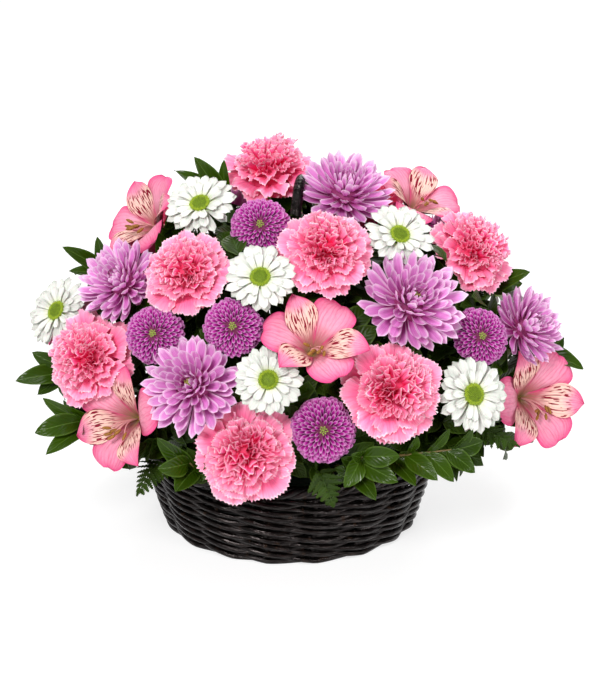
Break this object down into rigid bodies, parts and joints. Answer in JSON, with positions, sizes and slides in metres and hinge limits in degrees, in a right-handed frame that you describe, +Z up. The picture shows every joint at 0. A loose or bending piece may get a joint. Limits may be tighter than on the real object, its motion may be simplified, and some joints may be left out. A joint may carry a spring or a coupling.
{
  "type": "flower basket arrangement",
  "caption": "Oval willow basket with a tall hoop handle, filled with a dome of carnations, daisies, chrysanthemums and lily-like blooms among leafy sprigs and fern.",
  "frame": {"origin": "middle of the basket's flat base, on the table", "axes": "+Z up, +X to the right as seen from the front, -Y towards the viewer at the front"},
  "size_m": [0.3655, 0.2708, 0.2468],
  "materials": {
    "carnation_petal": "soft matt petals, pink, paler at the cut edges",
    "alstroemeria_petal": "silky petals, pink, with a cream throat and dark streaks",
    "daisy_petal": "white petals",
    "lavender_petal": "lavender petals, deeper between the whorls",
    "violet_petal": "violet petals, deeper between the whorls",
    "stem_green": "smooth green stems",
    "leaf_green": "glossy dark green leaves",
    "fern_green": "dark green fern",
    "willow": "stained willow, satin",
    "cane": "stained cane wrapping, satin",
    "foam": "wet floral foam",
    "liner": "thin dark plastic"
  },
  "bodies": {
    "root": {"alstroemeria_1": "alstroemeria_petal", "alstroemeria_2": "alstroemeria_petal", "alstroemeria_3": "alstroemeria_petal", "alstroemeria_4": "alstroemeria_petal", "alstroemeria_5": "alstroemeria_petal", "alstroemeria_6": "alstroemeria_petal", "alstroemeria_7": "alstroemeria_petal", "basket_base": "willow", "basket_handle": "cane", "basket_rim": "willow", "basket_wall": "willow", "carnation_1": "carnation_petal", "carnation_10": "carnation_petal", "carnation_2": "carnation_petal", "carnation_3": "carnation_petal", "carnation_4": "carnation_petal", "carnation_5": "carnation_petal", "carnation_6": "carnation_petal", "carnation_7": "carnation_petal", "carnation_8": "carnation_petal", "carnation_9": "carnation_petal", "daisy_1": "daisy_petal", "daisy_2": "daisy_petal", "daisy_3": "daisy_petal", "daisy_4": "daisy_petal", "daisy_5": "daisy_petal", "daisy_6": "daisy_petal", "daisy_7": "daisy_petal", "daisy_8": "daisy_petal", "daisy_9": "daisy_petal", "fern_back": "fern_green", "fern_front": "fern_green", "fern_left": "fern_green", "fern_right": "fern_green", "floral_foam": "foam", "flower_stems": "stem_green", "lavender_mum_1": "lavender_petal", "lavender_mum_2": "lavender_petal", "lavender_mum_3": "lavender_petal", "lavender_mum_4": "lavender_petal", "lavender_mum_5": "lavender_petal", "lavender_mum_6": "lavender_petal", "lavender_mum_7": "lavender_petal", "lavender_mum_8": "lavender_petal", "liner": "liner", "sprig_back_left": "leaf_green", "sprig_back_right": "leaf_green", "sprig_front_left": "leaf_green", "sprig_front_middle": "leaf_green", "sprig_front_right": "leaf_green", "sprig_left": "leaf_green", "violet_mum_1": "violet_petal", "violet_mum_2": "violet_petal", "violet_mum_3": "violet_petal", "violet_mum_4": "violet_petal", "violet_mum_5": "violet_petal", "violet_mum_6": "violet_petal", "violet_mum_7": "violet_petal"}
  },
  "joints": []
}
